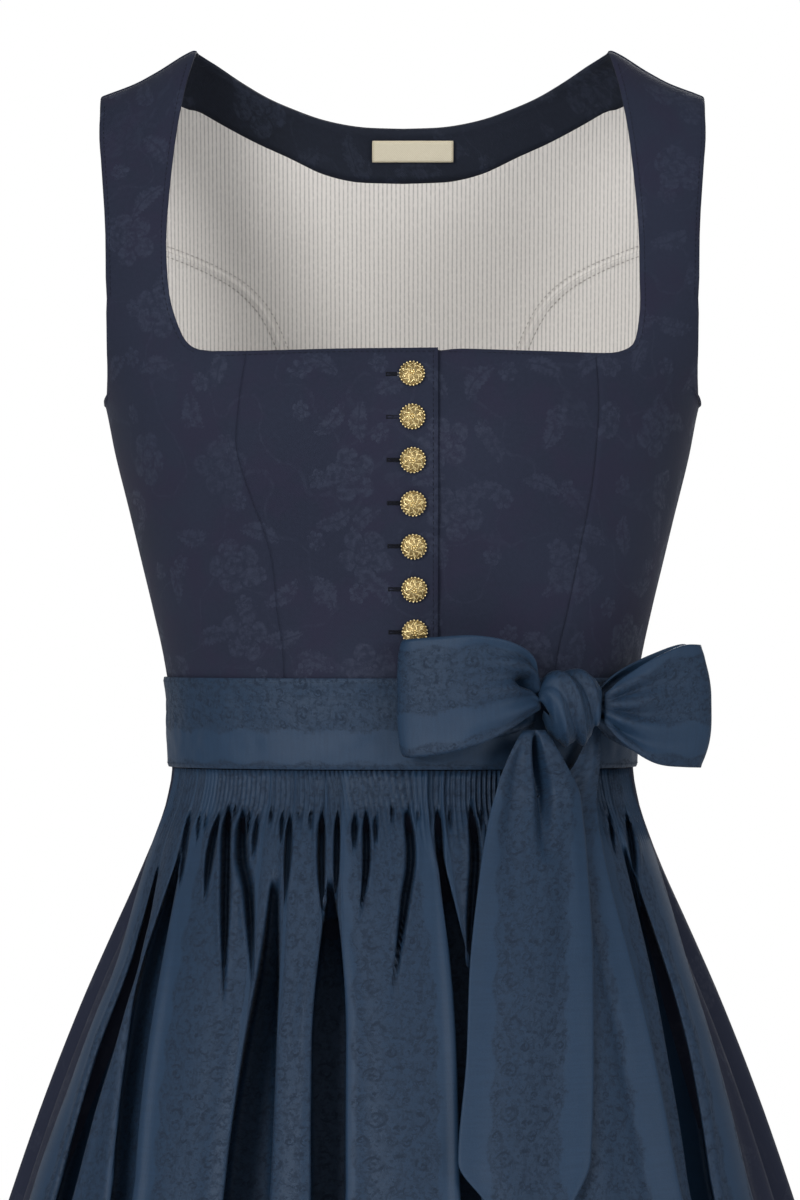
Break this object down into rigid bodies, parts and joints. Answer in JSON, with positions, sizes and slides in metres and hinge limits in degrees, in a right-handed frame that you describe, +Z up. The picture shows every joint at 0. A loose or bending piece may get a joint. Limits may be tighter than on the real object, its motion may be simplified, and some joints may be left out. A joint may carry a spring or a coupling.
{
  "type": "dirndl",
  "caption": "Worn-form sleeveless dirndl: square-necked buttoned bodice, gathered knee-length skirt, pleated apron with sash and side bow.",
  "frame": {"origin": "midway between the two shoulder straps, at the height of their middles, where the wearer's shoulders hold the dress up", "axes": "+Z up, -Y is the front of the dress, +X is the wearer's left"},
  "size_m": [0.6514, 0.5079, 1.0419],
  "materials": {
    "bodice_cloth": "dark navy cotton jacquard with a faint tonal flower pattern",
    "skirt_cloth": "dark navy cloth, soft and matt",
    "apron_cloth": "blue satin-ground jacquard with darker scroll bands",
    "lining_cloth": "grey-beige cotton with a fine vertical pinstripe",
    "label_cloth": "cream woven tape, blank",
    "button_metal": "antiqued gold filigree"
  },
  "bodies": {
    "root": {"bodice_front_right": "bodice_cloth", "bodice_front_left": "bodice_cloth", "bodice_side_front_right": "bodice_cloth", "bodice_side_front_left": "bodice_cloth", "bodice_back_centre": "bodice_cloth", "bodice_side_back_left": "bodice_cloth", "bodice_side_back_right": "bodice_cloth", "neck_facing_back": "bodice_cloth", "lining_back_centre": "lining_cloth", "lining_side_back_left": "lining_cloth", "lining_side_back_right": "lining_cloth", "label": "label_cloth", "skirt_front": "skirt_cloth", "skirt_back_left": "skirt_cloth", "skirt_back_right": "skirt_cloth", "apron_panel": "apron_cloth", "sash_front": "apron_cloth", "sash_back": "apron_cloth", "bow_knot": "apron_cloth", "bow_loop_right": "apron_cloth", "bow_loop_left": "apron_cloth", "bow_tail_front": "apron_cloth", "bow_tail_back": "apron_cloth", "button_1": "button_metal", "button_2": "button_metal", "button_3": "button_metal", "button_4": "button_metal", "button_5": "button_metal", "button_6": "button_metal", "button_7": "button_metal"}
  },
  "joints": []
}
